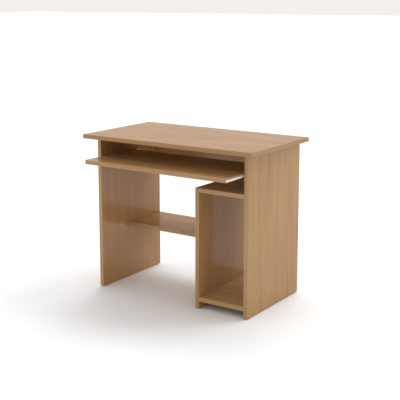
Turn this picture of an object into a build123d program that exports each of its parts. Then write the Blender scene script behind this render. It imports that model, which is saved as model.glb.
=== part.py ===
from build123d import *
import os
from math import sqrt

# Computer desk in wood-look melamine-faced chipboard, with a keyboard tray on roller runners,
# a bay for a computer at the right, a footrest shelf and a back rail.
# Frame: +X is the sitter's right, +Y the back, +Z up. The origin is on the floor, centred on the
# width, and midway between the front of the tray, as it stands drawn out, and the desk's back.

# Whole desk
DESK_W = 900.0
DESK_D = 500.0
DESK_H = 732.0
SIDE_OVERHANG = 45.0
FRONT_OVERHANG = 50.0

# Boards and their edging
BOARD = 19.0
EDGING = 1.0
EDGING_R = 0.8

# Computer bay, footrest shelf and back rail
BAY_INNER_W = 227.5
BAY_TOP = 544.0
BAY_FLOOR = 55.0
FOOTREST_D = 250.0
FOOTREST_TOP = 276.0
RAIL_H = 150.0
RAIL_INSET = 2.0

# Keyboard tray: how far it stands out from its closed place, flush with the panels' fronts
TRAY_D = 350.0
TRAY_TOP = 631.0
TRAY_OUT = 124.0
TRAY_FURTHER_OUT = 62.0

# Roller runners, of bent steel strip
RUNNER_GAP = 12.5
RUNNER_L = 250.0
CABINET_RUNNER_SETBACK = 24.0
TRAY_RUNNER_SETBACK = 2.0
STEEL = 1.2
BEND_OUT_R = 1.5
BEND_IN_R = 0.4
TRAY_BEND_R = 1.1
FLANGE_W = 9.5
TRAY_WEB_ABOVE_UNDER = 2.2
TRAY_WEB_H = 10.8
ROLLER_R = 7.5
ROLLER_W = 5.6
ROLLER_HUB_R = 4.1
ROLLER_RIM_R = 6.0
ROLLER_DISH = 1.2
ROLLER_BEVEL = 0.6
ROLLER_INSET = 10.0
ROLLER_TO_TRAY = 0.35
REAR_ROLLER_ABOVE_FLANGE = 0.7
ROLL_GAP = 0.3
PIN_R = 2.5
PIN_PLAY = 0.05
PIN_HEAD_R = 4.0
PIN_HEAD_T = 0.5
PIN_END_PLAY = 0.2
FLANGE_CUT = 20.0
STOP_H = 2.5
STOP_L = 6.0

# Chipboard screws that hold the runners
SCREW_R = 1.75
SCREW_L = 15.0
SCREW_HEAD_R = 3.5
SCREW_HEAD_H = 1.0
SCREW_BELOW_ROLLER = 0.5
SCREW_PLAY = 0.05
SCREW_TIP = 3.0
# Its domed head: shares of its height, and of its radius there
SCREW_DOME = ((0.5, 0.94), (0.85, 0.72), (1.0, 0.4))
CROSS_W = 0.9
CROSS_L = 4.2
CROSS_DEPTH = 0.6

# Cam fittings: a bolt stands in one board and a cam in the other draws its head in
CAM_R = 7.4
CAM_H = 13.5
CAM_BORE_R = 7.5
CAM_BORE_DEPTH = 13.8
CAM_SETBACK = 24.0
CAM_CROSS_W = 1.4
CAM_CROSS_L = 7.0
CAM_CROSS_DEPTH = 2.4
CAM_SOCKET_R = 2.2
BOLT_THREAD_R = 2.5
BOLT_THREAD_L = 11.0
BOLT_TIP_R = 1.5
BOLT_COLLAR_R = 3.4
BOLT_COLLAR_T = 2.0
BOLT_SHANK_R = 2.5
BOLT_NECK_R = 1.6
BOLT_NECK_L = 3.5
BOLT_HEAD_R = 3.2
BOLT_HEAD_END_R = 2.6
BOLT_HEAD_L = 3.0
BOLT_BORE_R = 3.6
BOLT_PLAY = 0.05
CLAW_W = 7.6
CAP_R = 8.5
CAP_T = 1.1
CAP_DOME = 0.4
CAP_SPIGOT_R = 2.0
CAP_SPIGOT_L = 2.0

# Beech dowels
DOWEL_R = 4.0
DOWEL_BORE_R = 4.05
DOWEL_SHORT = 10.0
DOWEL_LONG = 20.0
DOWEL_CHAMFER = 0.8
BORE_SPARE = 1.0
HAIR = 0.01

# Glides nailed under the uprights
GLIDE_R = 7.5
GLIDE_H = 4.5
GLIDE_EDGE_R = 1.0
GLIDE_INSET = 25.0
NAIL_R = 1.0
NAIL_PLAY = 0.05
NAIL_HEAD_R = 2.4
NAIL_HEAD_T = 1.0
NAIL_RECESS = 1.5
NAIL_L = 18.0

# Where the fittings stand: distances from a board's front and back edges
CAM_FROM_EDGE = 60.0
FOOTREST_CAM_FROM_EDGE = 40.0
TOP_DOWEL_FROM_CAM = 50.0
RAIL_CAM_FROM_EDGE = 40.0
RAIL_DOWEL_X = 150.0
RUNNER_SCREWS_FROM_FRONT = (45.0, 135.0, 230.0)
TRAY_SCREWS_FROM_FRONT = (30.0, 120.0, 210.0)

# Places worked out from the sizes above
PANEL_D = DESK_D - FRONT_OVERHANG
PANEL_FRONT = (TRAY_OUT - PANEL_D) / 2
BACK = PANEL_FRONT + PANEL_D
TOP_FRONT = BACK - DESK_D
TOP_UNDER = DESK_H - BOARD
PANEL_OUT = DESK_W / 2 - SIDE_OVERHANG
PANEL_IN = PANEL_OUT - BOARD
PANEL_MID = PANEL_OUT - BOARD / 2
DIVIDER_IN = PANEL_IN - BAY_INNER_W
DIVIDER_OUT = DIVIDER_IN - BOARD
FOOTREST_FRONT = BACK - FOOTREST_D
RAIL_BACK = BACK - RAIL_INSET
RAIL_FRONT = RAIL_BACK - BOARD
RAIL_UNDER = TOP_UNDER - RAIL_H
TRAY_SIDE = PANEL_IN - RUNNER_GAP
TRAY_FRONT = PANEL_FRONT - TRAY_OUT
TRAY_BACK = TRAY_FRONT + TRAY_D
TRAY_UNDER = TRAY_TOP - BOARD

# A board is its low corner, its high corner and its banded sides:
# x, y or z is the side at the low end of that axis, and X, Y or Z the one at the high end.
TABLETOP = ((-DESK_W / 2, TOP_FRONT, TOP_UNDER), (DESK_W / 2, BACK, DESK_H), "xXyY")
LEFT_PANEL = ((-PANEL_OUT, PANEL_FRONT, GLIDE_H), (-PANEL_IN, BACK, TOP_UNDER), "yY")
RIGHT_PANEL = ((PANEL_IN, PANEL_FRONT, GLIDE_H), (PANEL_OUT, BACK, TOP_UNDER), "yY")
DIVIDER = ((DIVIDER_OUT, PANEL_FRONT, GLIDE_H), (DIVIDER_IN, BACK, BAY_TOP), "yYZ")
BAY_ROOF = ((DIVIDER_IN, PANEL_FRONT, BAY_TOP - BOARD), (PANEL_IN, BACK, BAY_TOP), "yY")
BAY_BASE = ((DIVIDER_IN, PANEL_FRONT, BAY_FLOOR - BOARD), (PANEL_IN, BACK, BAY_FLOOR), "yY")
FOOTREST = ((-PANEL_IN, FOOTREST_FRONT, FOOTREST_TOP - BOARD), (DIVIDER_OUT, BACK, FOOTREST_TOP), "yY")
RAIL = ((-PANEL_IN, RAIL_FRONT, RAIL_UNDER), (PANEL_IN, RAIL_BACK, TOP_UNDER), "z")
TRAY = ((-TRAY_SIDE, TRAY_FRONT, TRAY_UNDER), (TRAY_SIDE, TRAY_BACK, TRAY_TOP), "xXyY")

LEFT = Vector(-1, 0, 0)
RIGHT = Vector(1, 0, 0)
REARWARD = Vector(0, 1, 0)
UP = Vector(0, 0, 1)
DOWN = Vector(0, 0, -1)


def both_ends(board, spots):
    """Where a board's two ends meet the uprights: points, and the way from each into the board."""
    low, high, _ = board
    left = [(Vector(low[0], y, z), RIGHT) for y, z in spots]
    right = [(Vector(high[0], y, z), LEFT) for y, z in spots]
    return left, right


def cams(joints, out):
    """Cam fittings at some joints: point, way into the board, way out of the face that holds the cam."""
    return [(point, inward, out) for point, inward in joints]


# Fittings of each shelf, at its left and right ends
roof_z = BAY_TOP - BOARD / 2
base_z = BAY_FLOOR - BOARD / 2
footrest_z = FOOTREST_TOP - BOARD / 2
panel_spots = (PANEL_FRONT + CAM_FROM_EDGE, BACK - CAM_FROM_EDGE)
panel_middle = PANEL_FRONT + PANEL_D / 2
footrest_spots = (FOOTREST_FRONT + FOOTREST_CAM_FROM_EDGE, BACK - FOOTREST_CAM_FROM_EDGE)
rail_y = RAIL_BACK - BOARD / 2
rail_spots = (TOP_UNDER - RAIL_CAM_FROM_EDGE, RAIL_UNDER + RAIL_CAM_FROM_EDGE)

roof_left, roof_right = both_ends(BAY_ROOF, [(y, roof_z) for y in panel_spots])
roof_pegs_left, roof_pegs_right = both_ends(BAY_ROOF, [(panel_middle, roof_z)])
base_left, base_right = both_ends(BAY_BASE, [(y, base_z) for y in panel_spots])
base_pegs_left, base_pegs_right = both_ends(BAY_BASE, [(panel_middle, base_z)])
foot_left, foot_right = both_ends(FOOTREST, [(y, footrest_z) for y in footrest_spots])
foot_pegs_left, foot_pegs_right = both_ends(FOOTREST, [(FOOTREST_FRONT + FOOTREST_D / 2, footrest_z)])
rail_left, rail_right = both_ends(RAIL, [(rail_y, z) for z in rail_spots])
rail_pegs_left, rail_pegs_right = both_ends(RAIL, [(rail_y, RAIL_UNDER + RAIL_H / 2)])

# Fittings between the tabletop and the boards that it lies on
top_left = [(Vector(-PANEL_MID, y, TOP_UNDER), DOWN) for y in panel_spots]
top_right = [(Vector(PANEL_MID, y, TOP_UNDER), DOWN) for y in panel_spots]
peg_spots = (panel_spots[0] + TOP_DOWEL_FROM_CAM, panel_spots[1] - TOP_DOWEL_FROM_CAM)
top_pegs_left = [(Vector(-PANEL_MID, y, TOP_UNDER), DOWN) for y in peg_spots]
top_pegs_right = [(Vector(PANEL_MID, y, TOP_UNDER), DOWN) for y in peg_spots]
top_pegs_rail = [(Vector(x, rail_y, TOP_UNDER), DOWN) for x in (-RAIL_DOWEL_X, RAIL_DOWEL_X)]

roof_cams = cams(roof_left + roof_right, DOWN)
base_cams = cams(base_left + base_right, DOWN)
foot_cams = cams(foot_left + foot_right, DOWN)
rail_cams = cams(rail_left + rail_right, REARWARD)
top_left_cams = cams(top_left, RIGHT)
top_right_cams = cams(top_right, LEFT)
capped_cams = rail_cams + top_left_cams + top_right_cams
every_cam = roof_cams + base_cams + foot_cams + capped_cams
every_peg = (
    roof_pegs_left + roof_pegs_right + base_pegs_left + base_pegs_right
    + foot_pegs_left + foot_pegs_right + rail_pegs_left + rail_pegs_right
    + top_pegs_left + top_pegs_right + top_pegs_rail
)

# Runners of the right side; the left ones are their mirror image
web_x = PANEL_IN - STEEL
tray_web_x = TRAY_SIDE + STEEL
roller_x = (web_x + tray_web_x - ROLLER_W) / 2 - ROLLER_TO_TRAY
tray_web_under = TRAY_UNDER + TRAY_WEB_ABOVE_UNDER
tray_flange_under = tray_web_under + TRAY_WEB_H - STEEL
front_roller_z = tray_flange_under - ROLL_GAP - ROLLER_R
rear_roller_z = tray_flange_under + STEEL + REAR_ROLLER_ABOVE_FLANGE - ROLLER_R
channel_floor = rear_roller_z - ROLLER_R - ROLL_GAP
channel_roof = rear_roller_z + ROLLER_R + ROLL_GAP
runner_front = PANEL_FRONT + CABINET_RUNNER_SETBACK
runner_back = runner_front + RUNNER_L
front_roller_y = runner_front + ROLLER_INSET
tray_runner_front = TRAY_FRONT + TRAY_RUNNER_SETBACK
tray_runner_back = tray_runner_front + RUNNER_L
rear_roller_y = tray_runner_back - ROLLER_INSET
screw_z = rear_roller_z - SCREW_BELOW_ROLLER
tray_screw_z = (tray_web_under + tray_flange_under) / 2
runner_screw_spots = [
    (Vector(PANEL_IN, runner_front + along, screw_z), LEFT) for along in RUNNER_SCREWS_FROM_FRONT
]
tray_screw_spots = [
    (Vector(TRAY_SIDE, tray_runner_front + along, tray_screw_z), RIGHT) for along in TRAY_SCREWS_FROM_FRONT
]

glide_spots = [
    Vector(x, y, 0)
    for x in (-PANEL_MID, DIVIDER_OUT + BOARD / 2, PANEL_MID)
    for y in (PANEL_FRONT + GLIDE_INSET, BACK - GLIDE_INSET)
]


def mirrored(spots):
    """The same fixings on the left side of the desk."""
    return [(Vector(-p.X, p.Y, p.Z), Vector(-out.X, out.Y, out.Z)) for p, out in spots]


def block(low, high, mode=Mode.ADD):
    """A rectangular block between two opposite corners."""
    width, depth, height = (b - a for a, b in zip(low, high))
    with BuildSketch(Plane.XY.offset(low[2])) as outline:
        with Locations((low[0] + width / 2, low[1] + depth / 2)):
            Rectangle(width, depth)
    extrude(outline.sketch, amount=height, mode=mode)


def core_of(board):
    """The corners of a board's chipboard, which is the board less its edging."""
    low, high, banded = board
    core_low = [at + EDGING * (side in banded) for side, at in zip("xyz", low)]
    core_high = [at - EDGING * (side in banded) for side, at in zip("XYZ", high)]
    return core_low, core_high


def drill(spots, radius, depth):
    """Blind holes, each at a point on a face, given with the way out of the board there."""
    with Locations(*[Plane(origin=point, z_dir=out) for point, out in spots]):
        Hole(radius=radius, depth=depth)


def take_bolts(joints):
    """Holes for the cam bolts that stand in this board's face."""
    drill(joints, BOLT_THREAD_R + BOLT_PLAY, BOLT_THREAD_L + BORE_SPARE)


def take_pegs(joints):
    """Short dowel holes in this board's face."""
    drill(joints, DOWEL_BORE_R, DOWEL_SHORT + BORE_SPARE)


def house_cams(fittings):
    """A bolt's bore in the board's end and the cam's bore across it."""
    drill([(point, -inward) for point, inward, _ in fittings], BOLT_BORE_R, CAM_SETBACK + BOLT_BORE_R)
    faces_out = [
        (point + inward * CAM_SETBACK + out * (BOARD / 2), out) for point, inward, out in fittings
    ]
    drill(faces_out, CAM_BORE_R, CAM_BORE_DEPTH)


def house_pegs(joints):
    """Long dowel holes in this board's end."""
    drill([(point, -inward) for point, inward in joints], DOWEL_BORE_R, DOWEL_LONG + BORE_SPARE)


def nail_holes(x):
    """Holes in an upright's foot for the nails of its two glides."""
    feet = [(Vector(spot.X, spot.Y, GLIDE_H), DOWN) for spot in glide_spots if abs(spot.X - x) < BOARD]
    drill(feet, NAIL_R + NAIL_PLAY, NAIL_L)


def edging_of(board):
    """The strips glued to a board's banded sides: the whole board, its edges rounded, less its core."""
    low, high, _ = board
    core_low, core_high = core_of(board)
    across = min(range(3), key=lambda i: high[i] - low[i])
    bare_ends = [(i, low[i]) for i in range(3) if i != across and core_low[i] == low[i]]
    bare_ends += [(i, high[i]) for i in range(3) if i != across and core_high[i] == high[i]]
    block(low, high)
    rounded = edges()
    for axis, at in bare_ends:
        rounded = [edge for edge in rounded if abs(tuple(edge.center())[axis] - at) > EDGING_R]
    fillet(rounded, EDGING_R)
    block(core_low, core_high, mode=Mode.SUBTRACT)


def turned(point, axis, profile):
    """A turned piece about an axis through a point, from (distance along, radius) corners."""
    side = REARWARD if abs(axis.Y) < 0.5 else UP
    with BuildSketch(Plane(origin=point, x_dir=axis, z_dir=axis.cross(side))) as outline:
        with BuildLine():
            Polyline(*profile, close=True)
        make_face()
    revolve(outline.sketch, axis=Axis(point, axis))


def cross_recess(point, out, length, width, depth):
    """A cross-shaped driver recess in a head whose outer face is at a point."""
    with BuildSketch(Plane(origin=point, z_dir=out)) as cross:
        Rectangle(length, width)
        Rectangle(width, length)
    extrude(cross.sketch, amount=-depth, mode=Mode.SUBTRACT)


def screw(point, out, under_head):
    """A low-headed chipboard screw through sheet of one thickness into the board behind it."""
    seat = point + out * under_head
    shank_end = -SCREW_L
    shank = [(shank_end, 0), (shank_end + SCREW_TIP, SCREW_R), (0, SCREW_R), (0, SCREW_HEAD_R)]
    dome = [(SCREW_HEAD_H * height, SCREW_HEAD_R * radius) for height, radius in SCREW_DOME]
    turned(seat, out, shank + dome + [(SCREW_HEAD_H, 0)])
    cross_recess(seat + out * SCREW_HEAD_H, out, CROSS_L, CROSS_W, CROSS_DEPTH)


# Boards, each drilled for its fittings

with BuildPart() as tabletop:
    block(*core_of(TABLETOP))
    take_bolts(top_left + top_right)
    take_pegs(top_pegs_left + top_pegs_right + top_pegs_rail)

with BuildPart() as left_side_panel:
    block(*core_of(LEFT_PANEL))
    house_cams(top_left_cams)
    house_pegs(top_pegs_left)
    take_bolts(foot_left + rail_left)
    take_pegs(foot_pegs_left + rail_pegs_left)
    drill(mirrored(runner_screw_spots), SCREW_R + SCREW_PLAY, SCREW_L)
    nail_holes(-PANEL_MID)

with BuildPart() as right_side_panel:
    block(*core_of(RIGHT_PANEL))
    house_cams(top_right_cams)
    house_pegs(top_pegs_right)
    take_bolts(roof_right + base_right + rail_right)
    take_pegs(roof_pegs_right + base_pegs_right + rail_pegs_right)
    drill(runner_screw_spots, SCREW_R + SCREW_PLAY, SCREW_L)
    nail_holes(PANEL_MID)

with BuildPart() as cpu_divider:
    block(*core_of(DIVIDER))
    take_bolts(roof_left + base_left + foot_right)
    take_pegs(roof_pegs_left + base_pegs_left + foot_pegs_right)
    nail_holes(DIVIDER_OUT + BOARD / 2)

with BuildPart() as cpu_top_shelf:
    block(*core_of(BAY_ROOF))
    house_cams(roof_cams)
    house_pegs(roof_pegs_left + roof_pegs_right)

with BuildPart() as cpu_bottom_shelf:
    block(*core_of(BAY_BASE))
    house_cams(base_cams)
    house_pegs(base_pegs_left + base_pegs_right)

with BuildPart() as footrest_shelf:
    block(*core_of(FOOTREST))
    house_cams(foot_cams)
    house_pegs(foot_pegs_left + foot_pegs_right)

with BuildPart() as back_rail:
    block(*core_of(RAIL))
    house_cams(rail_cams)
    house_pegs(rail_pegs_left + rail_pegs_right + top_pegs_rail)

with BuildPart() as keyboard_tray:
    block(*core_of(TRAY))
    drill(tray_screw_spots + mirrored(tray_screw_spots), SCREW_R + SCREW_PLAY, SCREW_L)

# Edging strips, one node for each board

with BuildPart() as tabletop_edging:
    edging_of(TABLETOP)

with BuildPart() as left_panel_edging:
    edging_of(LEFT_PANEL)

with BuildPart() as right_panel_edging:
    edging_of(RIGHT_PANEL)

with BuildPart() as cpu_divider_edging:
    edging_of(DIVIDER)

with BuildPart() as cpu_top_shelf_edging:
    edging_of(BAY_ROOF)

with BuildPart() as cpu_bottom_shelf_edging:
    edging_of(BAY_BASE)

with BuildPart() as footrest_edging:
    edging_of(FOOTREST)

with BuildPart() as back_rail_edging:
    edging_of(RAIL)

with BuildPart() as keyboard_tray_edging:
    edging_of(TRAY)
    drill(tray_screw_spots + mirrored(tray_screw_spots), SCREW_R + SCREW_PLAY, EDGING)

# Runner screwed to the panel: a channel open to the tray, its floor cut away at the front roller,
# with a raised stop for the tray's roller and a tab that closes the back end

with BuildPart() as right_cabinet_runner:
    with BuildSketch(Plane.XZ.offset(-runner_back)):
        with BuildLine():
            Polyline(
                (PANEL_IN, channel_floor - STEEL),
                (PANEL_IN, channel_roof + STEEL),
                (PANEL_IN - FLANGE_W, channel_roof + STEEL),
                (PANEL_IN - FLANGE_W, channel_roof),
                (web_x, channel_roof),
                (web_x, channel_floor),
                (PANEL_IN - FLANGE_W, channel_floor),
                (PANEL_IN - FLANGE_W, channel_floor - STEEL),
                close=True,
            )
        make_face()
        fillet(vertices().group_by(Axis.X)[-1], BEND_OUT_R)
    extrude(amount=RUNNER_L)
    inner_bends = edges().filter_by(Axis.Y).filter_by_position(Axis.X, web_x - HAIR, web_x + HAIR)
    fillet(inner_bends, BEND_IN_R)
    block(
        (PANEL_IN - FLANGE_W - STEEL, runner_front, channel_floor - STEEL),
        (web_x, runner_front + FLANGE_CUT, front_roller_z),
        mode=Mode.SUBTRACT,
    )
    block(
        (PANEL_IN - FLANGE_W, runner_back - STEEL, channel_floor - STEEL),
        (PANEL_IN - STEEL / 2, runner_back, channel_roof + STEEL / 2),
    )
    reach = ROLLER_R + ROLL_GAP
    stop_edge = rear_roller_y - TRAY_FURTHER_OUT - sqrt(reach**2 - (ROLLER_R + ROLL_GAP - STOP_H) ** 2)
    with BuildSketch(Plane.YZ.offset(PANEL_IN - FLANGE_W)):
        with BuildLine():
            Polyline(
                (stop_edge - STOP_L, channel_floor - STEEL / 2),
                (stop_edge, channel_floor - STEEL / 2),
                (stop_edge, channel_floor + STOP_H),
                (stop_edge - STOP_L / 3, channel_floor + STOP_H),
                close=True,
            )
        make_face()
    extrude(amount=FLANGE_W - STEEL / 2)
    drill([(point + LEFT * STEEL, out) for point, out in runner_screw_spots], SCREW_R + SCREW_PLAY, STEEL)
    front_pin_hole = Vector(web_x, front_roller_y, front_roller_z)
    drill([(front_pin_hole, LEFT)], PIN_R, STEEL)

# Runner on the tray's side: a web screwed to the edge, and a flange that rides on the front roller

with BuildPart() as right_tray_runner:
    with BuildSketch(Plane.XZ.offset(-tray_runner_back)):
        with BuildLine():
            Polyline(
                (TRAY_SIDE, tray_web_under),
                (tray_web_x, tray_web_under),
                (tray_web_x, tray_flange_under),
                (TRAY_SIDE + FLANGE_W, tray_flange_under),
                (TRAY_SIDE + FLANGE_W, tray_flange_under + STEEL),
                (TRAY_SIDE, tray_flange_under + STEEL),
                close=True,
            )
        make_face()
    extrude(amount=RUNNER_L)
    highest = edges().filter_by(Axis.Y).group_by(Axis.Z)[-1]
    fillet(highest.sort_by(Axis.X)[0], TRAY_BEND_R)
    block(
        (tray_web_x, tray_runner_back - FLANGE_CUT, tray_flange_under - STEEL),
        (TRAY_SIDE + FLANGE_W + STEEL, tray_runner_back, tray_flange_under + 2 * STEEL),
        mode=Mode.SUBTRACT,
    )
    drill([(point + RIGHT * STEEL, out) for point, out in tray_screw_spots], SCREW_R + SCREW_PLAY, STEEL)
    rear_pin_hole = Vector(tray_web_x, rear_roller_y, rear_roller_z)
    drill([(rear_pin_hole, RIGHT)], PIN_R, STEEL)

with BuildPart() as left_cabinet_runner:
    mirror(right_cabinet_runner.part, about=Plane.YZ)

with BuildPart() as left_tray_runner:
    mirror(right_tray_runner.part, about=Plane.YZ)


def roller(y, z):
    """A moulded roller about X, with a dished face on each side and a chamfered tread."""
    half = [
        (0, PIN_R + PIN_PLAY),
        (0, ROLLER_HUB_R),
        (ROLLER_DISH, ROLLER_HUB_R),
        (ROLLER_DISH, ROLLER_RIM_R),
        (0, ROLLER_RIM_R),
        (0, ROLLER_R - ROLLER_BEVEL),
        (ROLLER_BEVEL, ROLLER_R),
    ]
    other_half = [(ROLLER_W - along, radius) for along, radius in reversed(half)]
    turned(Vector(roller_x, y, z), RIGHT, half + other_half)


with BuildPart() as right_front_roller:
    roller(front_roller_y, front_roller_z)

with BuildPart() as right_rear_roller:
    roller(rear_roller_y, rear_roller_z)

with BuildPart() as left_front_roller:
    mirror(right_front_roller.part, about=Plane.YZ)

with BuildPart() as left_rear_roller:
    mirror(right_rear_roller.part, about=Plane.YZ)


def roller_pin(y, z, root_x, tip_way):
    """A riveted pin: its root fills the sheet, a collar spaces the roller off and a flat head keeps it on."""
    near = roller_x if tip_way is RIGHT else roller_x + ROLLER_W
    to_roller = abs(near - root_x) - PIN_END_PLAY
    past_roller = to_roller + ROLLER_W + 2 * PIN_END_PLAY
    profile = [
        (-STEEL, 0),
        (-STEEL, PIN_R),
        (0, PIN_R),
        (0, PIN_HEAD_R),
        (to_roller, PIN_HEAD_R),
        (to_roller, PIN_R),
        (past_roller, PIN_R),
        (past_roller, PIN_HEAD_R),
        (past_roller + PIN_HEAD_T, PIN_HEAD_R),
        (past_roller + PIN_HEAD_T, 0),
    ]
    turned(Vector(root_x, y, z), tip_way, profile)


with BuildPart() as front_roller_pins:
    roller_pin(front_roller_y, front_roller_z, web_x, LEFT)
    mirror(about=Plane.YZ)

with BuildPart() as rear_roller_pins:
    roller_pin(rear_roller_y, rear_roller_z, tray_web_x, RIGHT)
    mirror(about=Plane.YZ)

with BuildPart() as cabinet_runner_screws:
    for point, out in runner_screw_spots:
        screw(point, out, STEEL)
    mirror(about=Plane.YZ)

with BuildPart() as tray_runner_screws:
    for point, out in tray_screw_spots:
        screw(point, out, STEEL)
    mirror(about=Plane.YZ)

# Knock-down fittings

with BuildPart() as cam_bolts:
    for point, inward, _ in every_cam:
        neck = CAM_SETBACK - BOLT_HEAD_L / 2
        profile = [
            (-BOLT_THREAD_L, 0),
            (-BOLT_THREAD_L, BOLT_TIP_R),
            (-BOLT_THREAD_L + BOLT_THREAD_R, BOLT_THREAD_R),
            (0, BOLT_THREAD_R),
            (0, BOLT_COLLAR_R),
            (BOLT_COLLAR_T, BOLT_COLLAR_R),
            (BOLT_COLLAR_T, BOLT_SHANK_R),
            (neck - BOLT_NECK_L, BOLT_SHANK_R),
            (neck - BOLT_NECK_L, BOLT_NECK_R),
            (neck, BOLT_NECK_R),
            (neck, BOLT_HEAD_R),
            (neck + BOLT_HEAD_L, BOLT_HEAD_END_R),
            (neck + BOLT_HEAD_L, 0),
        ]
        turned(point, inward, profile)

with BuildPart() as cam_housings:
    for point, inward, out in every_cam:
        centre = point + inward * CAM_SETBACK
        face = centre + out * (BOARD / 2)
        with BuildSketch(Plane(origin=face, z_dir=out)):
            Circle(CAM_R)
        extrude(amount=-CAM_H)
        with BuildSketch(Plane(origin=centre + out * (CLAW_W / 2), x_dir=inward, z_dir=out)):
            with Locations((-CAM_R / 2, 0)):
                Rectangle(CAM_R, CLAW_W)
            Circle(CLAW_W / 2)
        extrude(amount=-CAM_H, mode=Mode.SUBTRACT)
        cross_recess(face, out, CAM_CROSS_L, CAM_CROSS_W, CAM_CROSS_DEPTH)
        with Locations(Plane(origin=face, z_dir=out)):
            Hole(radius=CAM_SOCKET_R, depth=CAM_CROSS_DEPTH)

with BuildPart() as cam_cover_caps:
    for point, inward, out in capped_cams:
        face = point + inward * CAM_SETBACK + out * (BOARD / 2)
        profile = [
            (-CAP_SPIGOT_L, 0),
            (-CAP_SPIGOT_L, CAP_SPIGOT_R),
            (0, CAP_SPIGOT_R),
            (0, CAP_R),
            (CAP_T - CAP_DOME, CAP_R),
            (CAP_T, CAP_R - CAP_T),
            (CAP_T, 0),
        ]
        turned(face, out, profile)

with BuildPart() as wooden_dowels:
    for point, inward in every_peg:
        profile = [
            (-DOWEL_SHORT, 0),
            (-DOWEL_SHORT, DOWEL_R - DOWEL_CHAMFER),
            (-DOWEL_SHORT + DOWEL_CHAMFER, DOWEL_R),
            (DOWEL_LONG - DOWEL_CHAMFER, DOWEL_R),
            (DOWEL_LONG, DOWEL_R - DOWEL_CHAMFER),
            (DOWEL_LONG, 0),
        ]
        turned(point, inward, profile)

# Glides: a moulded disc with a nail through its sunk middle

with BuildPart() as floor_glides:
    for spot in glide_spots:
        bore = NAIL_R + NAIL_PLAY
        profile = [
            (0, NAIL_HEAD_R + NAIL_PLAY),
            (0, GLIDE_R - GLIDE_EDGE_R),
            (GLIDE_EDGE_R, GLIDE_R),
            (GLIDE_H, GLIDE_R),
            (GLIDE_H, bore),
            (NAIL_RECESS + NAIL_HEAD_T, bore),
            (NAIL_RECESS + NAIL_HEAD_T, NAIL_HEAD_R + NAIL_PLAY),
        ]
        turned(spot, UP, profile)

with BuildPart() as glide_nails:
    for spot in glide_spots:
        profile = [
            (NAIL_RECESS, 0),
            (NAIL_RECESS, NAIL_HEAD_R),
            (NAIL_RECESS + NAIL_HEAD_T, NAIL_HEAD_R),
            (NAIL_RECESS + NAIL_HEAD_T, NAIL_R),
            (NAIL_RECESS + NAIL_L, NAIL_R),
            (NAIL_RECESS + NAIL_L + 2 * NAIL_R, 0),
        ]
        turned(spot, UP, profile)

pieces = {
    "tabletop": tabletop,
    "left_side_panel": left_side_panel,
    "right_side_panel": right_side_panel,
    "cpu_divider": cpu_divider,
    "cpu_top_shelf": cpu_top_shelf,
    "cpu_bottom_shelf": cpu_bottom_shelf,
    "footrest_shelf": footrest_shelf,
    "back_rail": back_rail,
    "keyboard_tray": keyboard_tray,
    "tabletop_edging": tabletop_edging,
    "left_panel_edging": left_panel_edging,
    "right_panel_edging": right_panel_edging,
    "cpu_divider_edging": cpu_divider_edging,
    "cpu_top_shelf_edging": cpu_top_shelf_edging,
    "cpu_bottom_shelf_edging": cpu_bottom_shelf_edging,
    "footrest_edging": footrest_edging,
    "back_rail_edging": back_rail_edging,
    "keyboard_tray_edging": keyboard_tray_edging,
    "left_cabinet_runner": left_cabinet_runner,
    "right_cabinet_runner": right_cabinet_runner,
    "left_tray_runner": left_tray_runner,
    "right_tray_runner": right_tray_runner,
    "left_front_roller": left_front_roller,
    "right_front_roller": right_front_roller,
    "left_rear_roller": left_rear_roller,
    "right_rear_roller": right_rear_roller,
    "front_roller_pins": front_roller_pins,
    "rear_roller_pins": rear_roller_pins,
    "cabinet_runner_screws": cabinet_runner_screws,
    "tray_runner_screws": tray_runner_screws,
    "cam_bolts": cam_bolts,
    "cam_housings": cam_housings,
    "cam_cover_caps": cam_cover_caps,
    "wooden_dowels": wooden_dowels,
    "floor_glides": floor_glides,
    "glide_nails": glide_nails,
}

os.makedirs("parts", exist_ok=True)
for name, piece in pieces.items():
    piece.part.label = name
    export_step(piece.part, f"parts/{name}.step")
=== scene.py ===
import math

import bpy
import numpy as np
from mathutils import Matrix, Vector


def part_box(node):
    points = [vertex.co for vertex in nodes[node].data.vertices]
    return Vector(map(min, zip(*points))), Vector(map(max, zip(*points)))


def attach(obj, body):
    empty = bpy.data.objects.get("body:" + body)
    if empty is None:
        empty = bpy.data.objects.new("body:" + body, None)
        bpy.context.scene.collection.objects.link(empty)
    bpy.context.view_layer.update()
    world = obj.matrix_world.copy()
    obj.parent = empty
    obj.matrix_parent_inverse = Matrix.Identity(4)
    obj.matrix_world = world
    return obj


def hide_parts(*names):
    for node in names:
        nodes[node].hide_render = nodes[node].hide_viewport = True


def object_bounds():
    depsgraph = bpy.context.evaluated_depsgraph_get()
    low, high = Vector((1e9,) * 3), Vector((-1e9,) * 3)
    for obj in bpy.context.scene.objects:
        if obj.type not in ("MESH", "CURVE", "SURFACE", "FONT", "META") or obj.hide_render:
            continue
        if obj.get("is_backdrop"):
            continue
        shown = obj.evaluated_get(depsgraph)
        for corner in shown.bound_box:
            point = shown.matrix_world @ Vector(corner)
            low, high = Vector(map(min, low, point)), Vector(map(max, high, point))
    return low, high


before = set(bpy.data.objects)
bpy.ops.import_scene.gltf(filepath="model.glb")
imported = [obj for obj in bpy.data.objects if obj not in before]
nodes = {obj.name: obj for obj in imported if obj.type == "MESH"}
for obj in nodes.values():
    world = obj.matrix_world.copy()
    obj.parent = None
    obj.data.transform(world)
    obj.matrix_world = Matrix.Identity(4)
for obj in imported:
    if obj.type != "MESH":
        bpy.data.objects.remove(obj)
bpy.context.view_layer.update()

scene = bpy.context.scene
scene.view_settings.view_transform = "Standard"


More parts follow.
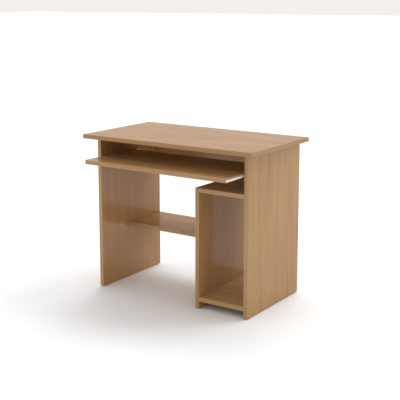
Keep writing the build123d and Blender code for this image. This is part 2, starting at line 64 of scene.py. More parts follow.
# The room the desk stands in: a plain white studio floor that ends 60 m away, a slightly warm white dome
# all round, and three broad, slightly cool lamps high behind the desk, from its left round to its right.
# The floor is matt painted board, so it only takes the desk's soft shadow and its warm bounce.

FLOOR_HALF = 60.0
FLOOR_WHITE = "F1F2F3"
DOME_WHITE = "FFFCF9"
DOME_STRENGTH = 0.892
LAMP_WHITE = "F4F9FF"
# Each lamp's bearing, turned from the desk's right towards its back, its height and its spread, all in
# degrees, and its strength
LAMPS = {
    "left_lamp": (115, 60, 30, 0.668),
    "middle_lamp": (79, 42, 60, 0.678),
    "right_lamp": (55, 50, 30, 0.53),
}


def linear(colour):
    """An sRGB hex colour as the linear red, green, blue and opacity that nodes and lamps take."""
    srgb = np.array([int(colour[i:i + 2], 16) for i in (0, 2, 4)]) / 255
    light = np.where(srgb <= 0.04045, srgb / 12.92, ((srgb + 0.055) / 1.055) ** 2.4)
    return (*(float(v) for v in light), 1.0)


def add(tree, kind, inputs=None, **settings):
    """Adds a shader node, sets it, and links or sets each input named."""
    made = tree.nodes.new("ShaderNode" + kind)
    for name, value in settings.items():
        setattr(made, name, value)
    for socket, value in (inputs or {}).items():
        if isinstance(value, bpy.types.NodeSocket):
            tree.links.new(value, made.inputs[socket])
        else:
            made.inputs[socket].default_value = value
    return made


def new_material(name):
    """An empty node material with its shader and output, and the tree they are in."""
    material = bpy.data.materials.new(name)
    material.use_nodes = True
    tree = material.node_tree
    tree.nodes.clear()
    shader = add(tree, "BsdfPrincipled")
    add(tree, "OutputMaterial", {"Surface": shader.outputs["BSDF"]})
    return material, tree, shader


def new_piece(name, points, faces, material):
    """An object at the origin from an array of points and a list of faces."""
    mesh = bpy.data.meshes.new(name)
    mesh.from_pydata(points.tolist(), [], faces)
    mesh.validate()
    mesh.materials.append(material)
    piece = bpy.data.objects.new(name, mesh)
    scene.collection.objects.link(piece)
    return piece


floor_paint, tree, shader = new_material("matt_white_painted_floor")
shader.inputs["Base Color"].default_value = linear(FLOOR_WHITE)
shader.inputs["Roughness"].default_value = 0.95
shader.inputs["Specular IOR Level"].default_value = 0.0
corners = np.array([[-1, -1, 0], [1, -1, 0], [1, 1, 0], [-1, 1, 0]]) * FLOOR_HALF
floor = new_piece("studio_floor", corners, [[0, 1, 2, 3]], floor_paint)
floor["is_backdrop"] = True

dome = bpy.data.worlds.new("studio_dome")
dome.use_nodes = True
dome.node_tree.nodes.clear()
sky = add(dome.node_tree, "Background", {"Color": linear(DOME_WHITE), "Strength": DOME_STRENGTH})
add(dome.node_tree, "OutputWorld", {"Surface": sky.outputs["Background"]})
scene.world = dome

for name, (bearing, height, spread, strength) in LAMPS.items():
    light = bpy.data.lights.new(name, "SUN")
    light.energy = strength
    light.color = linear(LAMP_WHITE)[:3]
    light.angle = math.radians(spread)
    lamp = bpy.data.objects.new(name, light)
    lamp.rotation_euler = (math.radians(90 - height), 0, math.radians(bearing + 90))
    scene.collection.objects.link(lamp)

# The camera stands at the desk's front right, four and a half times its width away, with a long lens.
CAMERA_AT = (2.24479, -3.23410, 1.34985)
CAMERA_TURN = math.radians(34.11)
CAMERA_TILT = math.radians(9.78)
CAMERA_LENS = 79.66
CAMERA_SHIFT = -0.125
CAMERA_SENSOR = 36.0
CAMERA_REACH = 200.0

camera_body = bpy.data.cameras.new("camera")
camera_body.lens = CAMERA_LENS
camera_body.sensor_width = CAMERA_SENSOR
camera_body.shift_y = CAMERA_SHIFT
camera_body.clip_end = CAMERA_REACH
camera = bpy.data.objects.new("camera", camera_body)
camera.location = CAMERA_AT
camera.rotation_euler = (math.pi / 2 - CAMERA_TILT, 0, CAMERA_TURN)
scene.collection.objects.link(camera)
scene.camera = camera


# The boards: 19 mm chipboard faced on both sides with melamine-impregnated paper, printed as light
# beech and pressed semi-gloss. The print runs along each board's length, and every board is cut from
# another place in the sheet. Ends that get no edging show the pressed chips, drawn a little larger than
# the real ones so that they show.

MELAMINE_DARK = "8B6138"
MELAMINE_MID = "A67B4F"
MELAMINE_LIGHT = "B68D61"
MELAMINE_STRAW = "AA8957"
RAY_BROWN = "7A5433"
CHIP_DARK = "8E6C45"
CHIP_LIGHT = "CDB083"
MM = 1000.0
# Length and width in mm, and share, of each layer of the print
PRINT_LAYERS = ((520, 42, 0.48), (350, 14, 0.7), (220, 6.0, 0.6), (150, 2.4, 0.5))
LAYER_STEP = 3.7
STRAW_BAND_MM = (500, 34)
STRAW_LEAST = 0.4
RAY_MM = (7.0, 0.9)
RAY_STRENGTH = 0.45
GLOSS_DRIFT_MM = (500, 220)
GLOSS_DRIFT = 0.04
PRESS_MM = 1.4
CHIP_MM = 3.5
CHIP_DULLER = 0.7


def across_grain(tree, coords, grain, along_mm, across_mm, shift, **noise):
    """Noise drawn out along the grain: its features are along_mm long and across_mm wide."""
    scale = [MM / across_mm] * 3
    scale["xyz".index(grain)] = MM / along_mm
    place = add(tree, "Mapping", {"Vector": coords, "Location": shift, "Scale": scale})
    settings = {"Scale": 1.0, "Detail": 2.0, "Roughness": 0.5, **noise}
    return add(tree, "TexNoise", {"Vector": place.outputs["Vector"], **settings}).outputs["Fac"]


def wood_look(name, grain, shift, bare_axis, gloss, shine, contrast, tone, straw):
    """Printed melamine on chipboard. The tone at a point is the sum of four noises drawn out along
    the grain, from 42 mm wide drifts to 2.4 mm lines. A fifth turns bands of it straw-yellow, and the
    peaks of a sixth are its short dark rays."""
    material, tree, shader = new_material(name)
    texture = add(tree, "TexCoord")
    coords = texture.outputs["Object"]
    # The tone shifts the whole print lighter or darker, and carries each board's painted light or shade
    total = 0.5 + tone
    for i, (along, wide, share) in enumerate(PRINT_LAYERS):
        spot = [c + LAYER_STEP * i for c in shift]
        noise = across_grain(tree, coords, grain, along, wide, spot)
        centred = add(tree, "Math", {0: noise, 1: 0.5}, operation="SUBTRACT").outputs[0]
        sum_of = {0: centred, 1: share * contrast, 2: total}
        total = add(tree, "Math", sum_of, operation="MULTIPLY_ADD").outputs[0]
    ramp = add(tree, "ValToRGB", {"Fac": total})
    ramp.color_ramp.elements[0].position = 0.2
    ramp.color_ramp.elements[0].color = linear(MELAMINE_DARK)
    ramp.color_ramp.elements[1].position = 0.8
    ramp.color_ramp.elements[1].color = linear(MELAMINE_LIGHT)
    ramp.color_ramp.elements.new(0.5).color = linear(MELAMINE_MID)
    # The straw bands are cut from a place of their own
    spot = [2.0 * c + 5.0 for c in shift]
    bands = across_grain(tree, coords, grain, *STRAW_BAND_MM, spot, Detail=1.0)
    band = {"Value": bands, "From Min": 0.35, "From Max": 0.65}
    band |= {"To Min": STRAW_LEAST * straw, "To Max": straw}
    turned_straw = {
        0: add(tree, "MapRange", band).outputs["Result"],
        6: ramp.outputs["Color"],
        7: linear(MELAMINE_STRAW),
    }
    straw_print = add(tree, "Mix", turned_straw, data_type="RGBA").outputs[2]
    rays = across_grain(tree, coords, grain, *RAY_MM, shift, Detail=1.0)
    peaks = {"Value": rays, "From Min": 0.62, "From Max": 0.72, "To Max": RAY_STRENGTH}
    ray = add(tree, "MapRange", peaks).outputs["Result"]
    colours = {0: ray, 6: straw_print, 7: linear(RAY_BROWN)}
    colour = add(tree, "Mix", colours, data_type="RGBA").outputs[2]
    # The press plate leaves a faint orange-peel, and the gloss drifts a little over a board
    drift = across_grain(tree, coords, grain, *GLOSS_DRIFT_MM, shift, Detail=0.0)
    dulled = {"Value": drift, "From Min": 0.2, "From Max": 0.8}
    dulled |= {"To Min": gloss * (1 - GLOSS_DRIFT), "To Max": gloss * (1 + GLOSS_DRIFT)}
    roughness = add(tree, "MapRange", dulled).outputs["Result"]
    press = add(tree, "TexNoise", {"Vector": coords, "Scale": MM / PRESS_MM, "Detail": 1.0})
    relief = add(tree, "Bump", {"Height": press.outputs["Fac"], "Strength": 0.1, "Distance": 0.00001})
    if bare_axis:
        normal = add(tree, "SeparateXYZ", {"Vector": texture.outputs["Normal"]})
        along_end = normal.outputs["xyz".index(bare_axis)]
        facing = add(tree, "Math", {0: along_end}, operation="ABSOLUTE").outputs[0]
        end = add(tree, "Math", {0: facing, 1: 0.9}, operation="GREATER_THAN").outputs[0]
        chips = add(tree, "TexVoronoi", {"Vector": coords, "Scale": MM / CHIP_MM})
        chip = add(tree, "SeparateColor", {"Color": chips.outputs["Color"]}).outputs[0]
        chip_colours = {0: chip, 6: linear(CHIP_DARK), 7: linear(CHIP_LIGHT)}
        chip_colour = add(tree, "Mix", chip_colours, data_type="RGBA").outputs[2]
        colour = add(tree, "Mix", {0: end, 6: colour, 7: chip_colour}, data_type="RGBA").outputs[2]
        duller = {0: end, 1: CHIP_DULLER, 2: roughness}
        roughness = add(tree, "Math", duller, operation="MULTIPLY_ADD").outputs[0]
    tree.links.new(colour, shader.inputs["Base Color"])
    tree.links.new(roughness, shader.inputs["Roughness"])
    tree.links.new(relief.outputs["Normal"], shader.inputs["Normal"])
    shader.inputs["IOR"].default_value = 1.45
    shader.inputs["Specular IOR Level"].default_value = shine
    return material


def dress(material, *names):
    """Puts a material on CAD nodes."""
    for name in names:
        for slot in nodes[name].material_slots:
            slot.material = material


# Grain axis, place in the sheet, bare end's axis, roughness, shine, and the print's contrast, tone
# and share of straw-yellow. The tone is painted light and shade: it is raised on the boards in shade
# inside the desk and lowered on the lit top, right panel and footrest
BOARD_LOOKS = {
    "tabletop": ("x", (0.0, 0.0, 0.0), "", 0.32, 0.25, 1.1, -0.08, 0.25),
    "left_side_panel": ("z", (7.7, 3.1, 5.5), "z", 0.16, 0.4, 0.62, 0.1, 0.1),
    "right_side_panel": ("z", (1.3, 6.2, 8.4), "z", 0.22, 0.3, 1.15, -0.04, 0.6),
    "cpu_divider": ("z", (5.9, 2.2, 1.1), "z", 0.16, 0.25, 0.7, 0.08, 0.2),
    "cpu_top_shelf": ("x", (9.4, 4.4, 3.2), "x", 0.2, 0.25, 1.0, 0.08, 0.2),
    "cpu_bottom_shelf": ("x", (2.8, 7.0, 6.6), "x", 0.2, 0.5, 1.0, 0.0, 0.2),
    "footrest_shelf": ("x", (6.5, 5.1, 9.9), "x", 0.2, 0.06, 1.0, -0.06, 0.2),
    "back_rail": ("x", (3.6, 8.8, 4.7), "x", 0.2, 0.5, 1.0, 0.0, 0.3),
    "keyboard_tray": ("x", (4.1, 9.3, 2.0), "", 0.25, 0.45, 0.9, 0.04, 0.3),
}
for board, look in BOARD_LOOKS.items():
    dress(wood_look("pressed_melamine_" + board, *look), board)


# The edging: 1 mm strips in the same wood print, glued on with hot melt and trimmed with a rounding
# cutter. The print's lines run along each strip, and the satin lacquer on it is duller than the boards.

# The print's dark and light lines in one strip, as three copies of painted light and shade
EDGE_LINES_PAINTED_SHADE = ("88623B", "AD875A")
EDGE_LINES_MIDDLE = ("916A43", "B69064")
EDGE_LINES_PAINTED_LIGHT = ("946F49", "BA986D")
STRIP_LINE_MM = 1.3
STRIP_DRIFT_MM = 420.0


def edging_strip(name, across, dark, light):
    """Strip edging: noise that is close across the strip and long the other two ways, so that its
    lines follow the strip round the board's corners. The same noise is its light relief."""
    material, tree, shader = new_material(name)
    coords = add(tree, "TexCoord").outputs["Object"]
    scale = [MM / STRIP_DRIFT_MM] * 3
    scale["xyz".index(across)] = MM / STRIP_LINE_MM
    place = add(tree, "Mapping", {"Vector": coords, "Scale": scale}).outputs["Vector"]
    fine = {"Vector": place, "Scale": 1.0, "Detail": 4.0, "Roughness": 0.6}
    lines = add(tree, "TexNoise", fine).outputs["Fac"]
    ramp = add(tree, "ValToRGB", {"Fac": lines})
    ramp.color_ramp.elements[0].position = 0.3
    ramp.color_ramp.elements[0].color = linear(dark)
    ramp.color_ramp.elements[1].position = 0.7
    ramp.color_ramp.elements[1].color = linear(light)
    tree.links.new(ramp.outputs["Color"], shader.inputs["Base Color"])
    relief = add(tree, "Bump", {"Height": lines, "Strength": 0.2, "Distance": 0.00008})
    tree.links.new(relief.outputs["Normal"], shader.inputs["Normal"])
    shader.inputs["Roughness"].default_value = 0.34
    shader.inputs["IOR"].default_value = 1.5
    shader.inputs["Specular IOR Level"].default_value = 0.35
    return material


# Painted light and shade: the top's edging is the darkest copy, and the panels' and shelves' edging is
# the lightest
dress(edging_strip("lacquered_edging_top", "z", *EDGE_LINES_PAINTED_SHADE), "tabletop_edging")
dress(edging_strip("lacquered_edging_tray", "z", *EDGE_LINES_MIDDLE), "keyboard_tray_edging")
dress(edging_strip("lacquered_edging_shelves", "z", *EDGE_LINES_PAINTED_LIGHT),
      "cpu_top_shelf_edging", "cpu_bottom_shelf_edging", "footrest_edging")
dress(edging_strip("lacquered_edging_panels", "x", *EDGE_LINES_PAINTED_LIGHT),
      "left_panel_edging", "right_panel_edging")
dress(edging_strip("lacquered_edging_divider", "x", *EDGE_LINES_MIDDLE), "cpu_divider_edging")
dress(edging_strip("lacquered_edging_rail", "y", *EDGE_LINES_MIDDLE), "back_rail_edging")


# The cam bolts: zinc-plated steel, screwed into a board's face up to the collar. The coarse thread is
# rolled, and the necked head stands out for the cam to draw in.

BOLT_THREAD_R, BOLT_THREAD_L, BOLT_PITCH, BOLT_THREAD_H = 0.0025, 0.011, 0.0018, 0.0006
BOLT_TIP_R, BOLT_COLLAR_R, BOLT_COLLAR_T = 0.0015, 0.0034, 0.002
BOLT_NECK_R, BOLT_NECK_L = 0.0016, 0.0035
BOLT_HEAD_R, BOLT_HEAD_END_R, BOLT_HEAD_L = 0.0032, 0.0026, 0.003
CAM_SETBACK = 0.024
CAM_FROM_EDGE, FOOTREST_CAM_FROM_EDGE, RAIL_CAM_FROM_EDGE = 0.060, 0.040, 0.040
BOLT_ZINC = "C4C8C8"
PLATING_MM = 0.8
RINGS_A_PITCH = 6
BOLT_TURNS = 20
SHARP = math.radians(35)


def plated_steel(name, colour, roughness):
    """Bright zinc plating on drawn steel: a cool mirror broken by fine noise in its roughness."""
    material, tree, shader = new_material(name)
    coords = add(tree, "TexCoord").outputs["Object"]
    plating = {"Vector": coords, "Scale": MM / PLATING_MM, "Detail": 3.0}
    crystals = add(tree, "TexNoise", plating).outputs["Fac"]
    spread = {"Value": crystals, "From Min": 0.3, "From Max": 0.7}
    spread |= {"To Min": roughness * 0.7, "To Max": roughness * 1.4}
    tree.links.new(add(tree, "MapRange", spread).outputs["Result"], shader.inputs["Roughness"])
    relief = add(tree, "Bump", {"Height": crystals, "Strength": 0.15, "Distance": 0.00003})
    tree.links.new(relief.outputs["Normal"], shader.inputs["Normal"])
    shader.inputs["Base Color"].default_value = linear(colour)
    shader.inputs["Metallic"].default_value = 1.0
    return material


def rings_along(corners, step):
    """Points on a chain of (along, radius) corners: every run is cut into equal steps no longer than
    the step asked for, and every corner is kept."""
    corners = np.asarray(corners, float)
    runs = np.linalg.norm(np.diff(corners, axis=0), axis=1)
    counts = np.maximum(1, np.ceil(runs / step)).astype(int)
    shares = [i + np.arange(count) / count for i, count in enumerate(counts)]
    at = np.concatenate(shares + [[len(runs)]])
    which = np.arange(len(corners))
    return np.stack([np.interp(at, which, corners[:, 0]), np.interp(at, which, corners[:, 1])], axis=1)


def turned(rings, turns):
    """A section of (along, radius) rings, the same all round, as two (rings, turns) arrays; and the
    turns, which are equal steps of the circle."""
    turn = np.arange(turns) * 2 * np.pi / turns
    return np.repeat(rings[:, :1], turns, axis=1), np.repeat(rings[:, 1:], turns, axis=1), turn


def thread(along, radius, turn, start, end, pitch, height):
    """A rolled thread on a shank: the radius falls by the height times one less a squared raised
    cosine of the place along in pitches less the turn. It falls by no more than half, and the thread
    fades out at both ends."""
    ridge = ((1 + np.cos(2 * np.pi * (along / pitch) - turn)) / 2) ** 2
    fade = np.clip(np.minimum(along - start, end - along) / pitch, 0, 1)
    return radius - np.minimum(height * (1 - ridge) * fade, 0.5 * radius)


def turned_pieces(name, spots, ways, along, radius, material, ring=False):
    """Turned pieces at several spots. A point is the spot, plus along times its axis, plus the radius
    times (cosine of the turn times one side, plus sine of the turn times the other). Along and
    radius are (rings, turns) arrays. The ends are closed with a face, or the last ring to the first."""
    spots, ways = np.asarray(spots, float)[:, None, None], np.asarray(ways, float)
    rings, turns = along.shape
    first = np.where(np.abs(ways[:, 1:2]) < 0.5, [[0.0, 1.0, 0.0]], [[0.0, 0.0, 1.0]])
    second = np.cross(ways, first)
    turn = np.arange(turns) * 2 * np.pi / turns
    way, first, second = (v[:, None, None] for v in (ways, first, second))
    round_axis = np.cos(turn)[:, None] * first + np.sin(turn)[:, None] * second
    points = (spots + along[..., None] * way + radius[..., None] * round_axis).reshape(-1, 3)
    low = np.arange(rings if ring else rings - 1)[:, None] * turns
    high = (low + turns) % (rings * turns)
    here, there = np.arange(turns), (np.arange(turns) + 1) % turns
    quads = np.stack([low + here, low + there, high + there, high + here], axis=-1).reshape(-1, 4)
    copies = np.arange(len(ways)) * rings * turns
    faces = (quads + copies[:, None, None]).reshape(-1, 4).tolist()
    if not ring:
        faces += (copies[:, None] + here[::-1]).tolist()
        faces += (copies[:, None] + here + (rings - 1) * turns).tolist()
    piece = new_piece(name, points, faces, material)
    piece.data.polygons.foreach_set("use_smooth", [True] * len(faces))
    piece.data.set_sharp_from_angle(angle=SHARP)
    return piece


def corners_of(node):
    """A node's lowest and highest corners."""
    return tuple(np.array(corner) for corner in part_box(node))


def end_spots(low, high, inset, axis):
    """Where a board's four cam bolts stand: at both its ends, a way in from its two edges along an
    axis, on its middle plane."""
    spots = np.tile((low + high) / 2, (4, 1))
    spots[:, 0] = [low[0], low[0], high[0], high[0]]
    spots[:, axis] = [low[axis] + inset, high[axis] - inset] * 2
    return spots


zinc_plate = plated_steel("bright_zinc_plated_steel", BOLT_ZINC, 0.28)
roof, base, footrest = map(corners_of, (
    "cpu_top_shelf_edging", "cpu_bottom_shelf_edging", "footrest_edging"))
rail = corners_of("back_rail")
rail[0][2] = corners_of("back_rail_edging")[0][2]
panel_low, panel_high = corners_of("left_panel_edging")
panel_mid = (panel_low[0] + panel_high[0]) / 2
panel_fronts = (panel_low[1] + CAM_FROM_EDGE, panel_high[1] - CAM_FROM_EDGE)
top_under = corners_of("tabletop")[0][2]
bolt_spots = np.concatenate([
    end_spots(*roof, CAM_FROM_EDGE, 1),
    end_spots(*base, CAM_FROM_EDGE, 1),
    end_spots(*footrest, FOOTREST_CAM_FROM_EDGE, 1),
    end_spots(*rail, RAIL_CAM_FROM_EDGE, 2),
    [[x, y, top_under] for x in (panel_mid, -panel_mid) for y in panel_fronts],
])
# Each bolt points into the board that holds its cam: rightwards at a board's left end, leftwards at its
# right end, and down into a panel's top edge
RIGHT, LEFT, DOWN = (1.0, 0.0, 0.0), (-1.0, 0.0, 0.0), (0.0, 0.0, -1.0)
bolt_ways = [RIGHT, RIGHT, LEFT, LEFT] * 4 + [DOWN] * 4

bolt_neck = CAM_SETBACK - BOLT_HEAD_L / 2
bolt_rings = rings_along([
    (-BOLT_THREAD_L, BOLT_TIP_R), (-BOLT_THREAD_L + BOLT_THREAD_R, BOLT_THREAD_R), (0, BOLT_THREAD_R),
    (0, BOLT_COLLAR_R), (BOLT_COLLAR_T, BOLT_COLLAR_R), (BOLT_COLLAR_T, BOLT_THREAD_R),
    (bolt_neck - BOLT_NECK_L, BOLT_THREAD_R), (bolt_neck - BOLT_NECK_L, BOLT_NECK_R),
    (bolt_neck, BOLT_NECK_R), (bolt_neck, BOLT_HEAD_R), (bolt_neck + BOLT_HEAD_L, BOLT_HEAD_END_R),
], BOLT_PITCH / RINGS_A_PITCH)
bolt_along, shank, turn = turned(bolt_rings, BOLT_TURNS)
bolt_radius = thread(bolt_along, shank, turn, -BOLT_THREAD_L, 0.0, BOLT_PITCH, BOLT_THREAD_H)
bolts = turned_pieces("threaded_cam_bolts", bolt_spots, bolt_ways, bolt_along, bolt_radius, zinc_plate)
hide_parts("cam_bolts")
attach(bolts, "desk")


# The dowels: 8 mm beech rods pressed with straight flutes for the glue, cut to length and chamfered.
# The wood is bare, so it is dry and matt, and speckled by its short pores.

DOWEL_R, DOWEL_CHAMFER = 0.004, 0.0008
DOWEL_SHORT, DOWEL_LONG = 0.010, 0.020
FLUTE_DEPTH, FLUTES, TURNS_A_FLUTE = 0.00025, 16, 6
TOP_DOWEL_FROM_CAM = 0.050
RAIL_DOWEL_X = 0.150
PORE_MM = 1.2
BEECH_DARK = "B98C5E"
BEECH_LIGHT = "DDB98C"

beech, tree, shader = new_material("fluted_beech")
coords = add(tree, "TexCoord").outputs["Object"]
pores = add(tree, "TexNoise", {"Vector": coords, "Scale": MM / PORE_MM, "Detail": 3.0}).outputs["Fac"]
rod = {0: pores, 6: linear(BEECH_DARK), 7: linear(BEECH_LIGHT)}
rod_colour = add(tree, "Mix", rod, data_type="RGBA").outputs[2]
tree.links.new(rod_colour, shader.inputs["Base Color"])
shader.inputs["Roughness"].default_value = 0.7

dowel_rings = rings_along([
    (-DOWEL_SHORT, DOWEL_R - DOWEL_CHAMFER), (-DOWEL_SHORT + DOWEL_CHAMFER, DOWEL_R),
    (DOWEL_LONG - DOWEL_CHAMFER, DOWEL_R), (DOWEL_LONG, DOWEL_R - DOWEL_CHAMFER),
], DOWEL_LONG)
# A flute's depth is half of one less the cosine of the turn times the flutes
dowel_along, rod_radius, turn = turned(dowel_rings, FLUTES * TURNS_A_FLUTE)
dowel_radius = rod_radius - FLUTE_DEPTH * (1 - np.cos(FLUTES * turn)) / 2

# One at the middle of each end of the three shelves and the rail, four beside the panels' cam bolts,
# and two on top of the rail
end_pegs = [[end[0], *((low + high) / 2)[1:]] for low, high in (roof, base, footrest, rail)
            for end in (low, high)]
peg_fronts = (panel_fronts[0] + TOP_DOWEL_FROM_CAM, panel_fronts[1] - TOP_DOWEL_FROM_CAM)
top_pegs = [[x, y, top_under] for x in (panel_mid, -panel_mid) for y in peg_fronts]
rail_middle = (rail[0][1] + rail[1][1]) / 2
top_pegs += [[x, rail_middle, top_under] for x in (-RAIL_DOWEL_X, RAIL_DOWEL_X)]
peg_ways = [RIGHT, LEFT] * 4 + [DOWN] * 6
dowels = turned_pieces("fluted_dowels", end_pegs + top_pegs, peg_ways, dowel_along, dowel_radius, beech)
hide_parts("wooden_dowels")
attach(dowels, "desk")


# The cams: zinc die-castings turned with a cross-head driver. The casting leaves a grey, slightly
# mottled skin with a soft sheen.

CASTING_MM = 0.9
ZINC_DARK = "8F9191"
ZINC_LIGHT = "B9BBBA"

die_cast, tree, shader = new_material("die_cast_zinc")
coords = add(tree, "TexCoord").outputs["Object"]
skin = add(tree, "TexNoise", {"Vector": coords, "Scale": MM / CASTING_MM, "Detail": 4.0}).outputs["Fac"]
mottle = {0: skin, 6: linear(ZINC_DARK), 7: linear(ZINC_LIGHT)}
tree.links.new(add(tree, "Mix", mottle, data_type="RGBA").outputs[2], shader.inputs["Base Color"])
relief = add(tree, "Bump", {"Height": skin, "Strength": 0.3, "Distance": 0.00008})
tree.links.new(relief.outputs["Normal"], shader.inputs["Normal"])
shader.inputs["Metallic"].default_value = 1.0
shader.inputs["Roughness"].default_value = 0.46
dress(die_cast, "cam_housings")


# The cover caps: polyethylene discs moulded in the boards' tone, pushed into the cams that would show
# under the top and on the back rail. The moulding is satin, with a faint flow pattern.

FLOW_MM = 4.0
CAP_GRAIN_MM = 0.5
CAP_DARK = "946B40"
CAP_LIGHT = "A87E50"

cap_plastic, tree, shader = new_material("moulded_wood_tone_cap")
coords = add(tree, "TexCoord").outputs["Object"]
flow = add(tree, "TexNoise", {"Vector": coords, "Scale": MM / FLOW_MM, "Detail": 3.0}).outputs["Fac"]
flow_colours = {0: flow, 6: linear(CAP_DARK), 7: linear(CAP_LIGHT)}
tree.links.new(add(tree, "Mix", flow_colours, data_type="RGBA").outputs[2], shader.inputs["Base Color"])
mould = {"Vector": coords, "Scale": MM / CAP_GRAIN_MM, "Detail": 1.0}
grain = add(tree, "TexNoise", mould).outputs["Fac"]
relief = add(tree, "Bump", {"Height": grain, "Strength": 0.2, "Distance": 0.00003})
tree.links.new(relief.outputs["Normal"], shader.inputs["Normal"])
shader.inputs["Roughness"].default_value = 0.42
shader.inputs["IOR"].default_value = 1.51
dress(cap_plastic, "cam_cover_caps")


# The runners: 1.2 mm steel strip, roll-formed, and powder-coated in white epoxy. The coat is satin,
# with the slight orange-peel of baked powder, and its white drifts a little along the strip.

PEEL_MM = 1.6
COAT_DRIFT_MM = 45.0
COAT_DARK = "E4E0D8"
COAT_LIGHT = "F2EEE6"

epoxy, tree, shader = new_material("white_epoxy_powder_coat")
coords = add(tree, "TexCoord").outputs["Object"]
peel = add(tree, "TexNoise", {"Vector": coords, "Scale": MM / PEEL_MM, "Detail": 2.0}).outputs["Fac"]
coat = {"Vector": coords, "Scale": MM / COAT_DRIFT_MM, "Detail": 3.0}
drift = add(tree, "TexNoise", coat).outputs["Fac"]
whites = {0: drift, 6: linear(COAT_DARK), 7: linear(COAT_LIGHT)}
tree.links.new(add(tree, "Mix", whites, data_type="RGBA").outputs[2], shader.inputs["Base Color"])
relief = add(tree, "Bump", {"Height": peel, "Strength": 0.25, "Distance": 0.00005})
tree.links.new(relief.outputs["Normal"], shader.inputs["Normal"])
shader.inputs["Roughness"].default_value = 0.32
shader.inputs["IOR"].default_value = 1.55
dress(epoxy, "left_cabinet_runner", "right_cabinet_runner", "left_tray_runner", "right_tray_runner")


# The roller pins: turned steel rivets, zinc-plated, spread into the runners' webs. Spreading leaves
# their plating a little greyer and duller than the bolts'.

RIVET_ZINC = "B9BCBA"

dress(plated_steel("zinc_plated_rivet", RIVET_ZINC, 0.34), "front_roller_pins", "rear_roller_pins")


# The rollers: white nylon, injection-moulded, two on each side. Each face is dished, and six ribs
# join its hub to its rim; the tread is chamfered. The nylon is milky and lets a little light in.

ROLLER_R, ROLLER_W, ROLLER_BEVEL, ROLLER_TURNS = 0.0075, 0.0056, 0.0006, 96
ROLLER_BORE_R, ROLLER_HUB_R, ROLLER_RIM_R, ROLLER_DISH = 0.00255, 0.0041, 0.006, 0.0012
ROLLER_RIBS, RIB_SHARE, RIB_BELOW_FACE = 6, 0.3, 0.0003
CLOUD_MM = 3.0
NYLON_DARK = "E3E0D6"
NYLON_LIGHT = "F1EFE8"

nylon, tree, shader = new_material("moulded_white_nylon")
coords = add(tree, "TexCoord").outputs["Object"]
cloud = add(tree, "TexNoise", {"Vector": coords, "Scale": MM / CLOUD_MM, "Detail": 3.0}).outputs["Fac"]
milk = {0: cloud, 6: linear(NYLON_DARK), 7: linear(NYLON_LIGHT)}
tree.links.new(add(tree, "Mix", milk, data_type="RGBA").outputs[2], shader.inputs["Base Color"])
shader.inputs["Roughness"].default_value = 0.4
shader.inputs["IOR"].default_value = 1.53
shader.inputs["Subsurface Weight"].default_value = 0.15
shader.inputs["Subsurface Radius"].default_value = (0.002, 0.002, 0.0016)

# Half of the section, from the bore out to the tread; the other half is its mirror image
half = np.array([
    (0, ROLLER_BORE_R), (0, ROLLER_HUB_R), (ROLLER_DISH, ROLLER_HUB_R), (ROLLER_DISH, ROLLER_RIM_R),
    (0, ROLLER_RIM_R), (0, ROLLER_R - ROLLER_BEVEL), (ROLLER_BEVEL, ROLLER_R),
])
other_half = half[::-1] * [-1, 1] + [ROLLER_W, 0]
roller_rings = np.concatenate([half, other_half])
flat_along, roller_radius, turn = turned(roller_rings, ROLLER_TURNS)
# A rib stands where the cosine of the turn times the ribs is high; there the floor of the dish is
# brought up to just below the face
rib = np.cos(ROLLER_RIBS * turn) > math.cos(math.pi * RIB_SHARE)
dish = half[:, :1] == ROLLER_DISH
dish_floor = np.concatenate([dish, dish[::-1]])
rib_top = np.where(flat_along < ROLLER_W / 2, RIB_BELOW_FACE, ROLLER_W - RIB_BELOW_FACE)
roller_along = np.where(dish_floor & rib, rib_top, flat_along)
for node in ("left_front_roller", "right_front_roller", "left_rear_roller", "right_rear_roller"):
    low, high = corners_of(node)
    start = (low + high) / 2
    start[0] = low[0]
    name = "ribbed_" + node
    ribbed = turned_pieces(name, [start], [RIGHT], roller_along, roller_radius, nylon, ring=True)
    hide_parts(node)
    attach(ribbed, node)


# The runner screws: 3.5 x 15 mm chipboard screws, cold-headed with a low dome and a cross recess,
# thread-rolled and bright zinc-plated. Three hold each runner to its panel or to the tray's edge.

SCREW_R, SCREW_L, SCREW_TIP, SCREW_POINT_R = 0.00175, 0.015, 0.003, 0.0002
SCREW_PITCH, SCREW_THREAD_H, SCREW_TURNS = 0.0016, 0.00055, 64
SCREW_HEAD_R, SCREW_HEAD_H, SCREW_CENTRE_R, HEAD_STEP = 0.0035, 0.001, 0.00004, 0.00022
# The head's dome: shares of its height, and of its radius there
HEAD_DOME = ((0.5, 0.94), (0.85, 0.72), (1.0, 0.4))
CROSS_HALF_W, CROSS_HALF_L, CROSS_DEPTH, CROSS_TAPER = 0.00045, 0.0021, 0.0006, 0.0002
CROSS_ABOVE = 0.6 * SCREW_HEAD_H
RUNNER_SCREWS, TRAY_SCREWS = (0.045, 0.135, 0.230), (0.030, 0.120, 0.210)

shank = [(-SCREW_L, SCREW_POINT_R), (-SCREW_L + SCREW_TIP, SCREW_R), (0, SCREW_R)]
head = [(0, SCREW_HEAD_R)] + [(SCREW_HEAD_H * h, SCREW_HEAD_R * r) for h, r in HEAD_DOME]
screw_rings = np.concatenate([
    rings_along(shank, SCREW_PITCH / RINGS_A_PITCH),
    rings_along(head + [(SCREW_HEAD_H, SCREW_CENTRE_R)], HEAD_STEP),
])
flat_along, smooth, turn = turned(screw_rings, SCREW_TURNS)
screw_radius = thread(flat_along, smooth, turn, -SCREW_L, -SCREW_R, SCREW_PITCH, SCREW_THREAD_H)
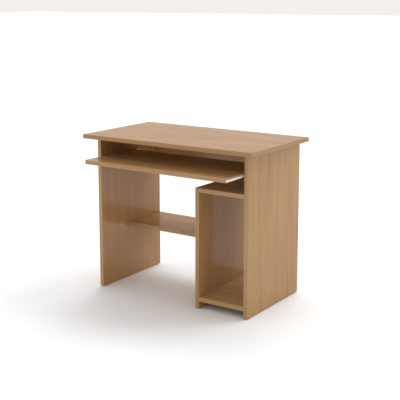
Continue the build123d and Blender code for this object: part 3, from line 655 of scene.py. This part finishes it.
# The recess deepens from nothing at the cross's outline to its full depth one taper's width inside it
level, upright = np.abs(screw_radius * np.cos(turn)), np.abs(screw_radius * np.sin(turn))
across_arm, along_arm = np.minimum(level, upright), np.maximum(level, upright)
inside = np.minimum(CROSS_HALF_W - across_arm, CROSS_HALF_L - along_arm) / CROSS_TAPER
screw_along = flat_along - CROSS_DEPTH * np.clip(inside, 0, 1) * (flat_along > CROSS_ABOVE)

for node, body, runner, spaced in (
    ("cabinet_runner_screws", "desk", "left_cabinet_runner", RUNNER_SCREWS),
    ("tray_runner_screws", "tray", "left_tray_runner", TRAY_SCREWS),
):
    low, high = corners_of(node)
    height = (low[2] + high[2]) / 2
    front = corners_of(runner)[0][1]
    # The heads of the cabinet's screws face inwards and those of the tray's outwards
    if body == "desk":
        seat, way = low[0] + SCREW_L, 1.0
    else:
        seat, way = low[0] + SCREW_HEAD_H, -1.0
    seats = [(side * seat, front + along, height) for side in (1, -1) for along in spaced]
    ways = [(side * way, 0, 0) for side in (1, -1) for _ in spaced]
    screws = turned_pieces("recessed_" + node, seats, ways, screw_along, screw_radius, zinc_plate)
    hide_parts(node)
    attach(screws, body)


# The glides: brown polyethylene discs, moulded with a waxy satin skin, each nailed up into an
# upright's foot with a plated nail whose head is sunk clear of the floor.

NAIL_ZINC = "A9ABA9"
WAX_MM = 2.0
GLIDE_DARK = "4A3222"
GLIDE_LIGHT = "664833"

glide_plastic, tree, shader = new_material("moulded_brown_polyethylene")
coords = add(tree, "TexCoord").outputs["Object"]
wax = add(tree, "TexNoise", {"Vector": coords, "Scale": MM / WAX_MM, "Detail": 3.0}).outputs["Fac"]
browns = {0: wax, 6: linear(GLIDE_DARK), 7: linear(GLIDE_LIGHT)}
tree.links.new(add(tree, "Mix", browns, data_type="RGBA").outputs[2], shader.inputs["Base Color"])
relief = add(tree, "Bump", {"Height": wax, "Strength": 0.2, "Distance": 0.00006})
tree.links.new(relief.outputs["Normal"], shader.inputs["Normal"])
shader.inputs["Roughness"].default_value = 0.5
shader.inputs["IOR"].default_value = 1.51
dress(glide_plastic, "floor_glides")
dress(plated_steel("plated_glide_nail", NAIL_ZINC, 0.4), "glide_nails")


low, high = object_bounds()
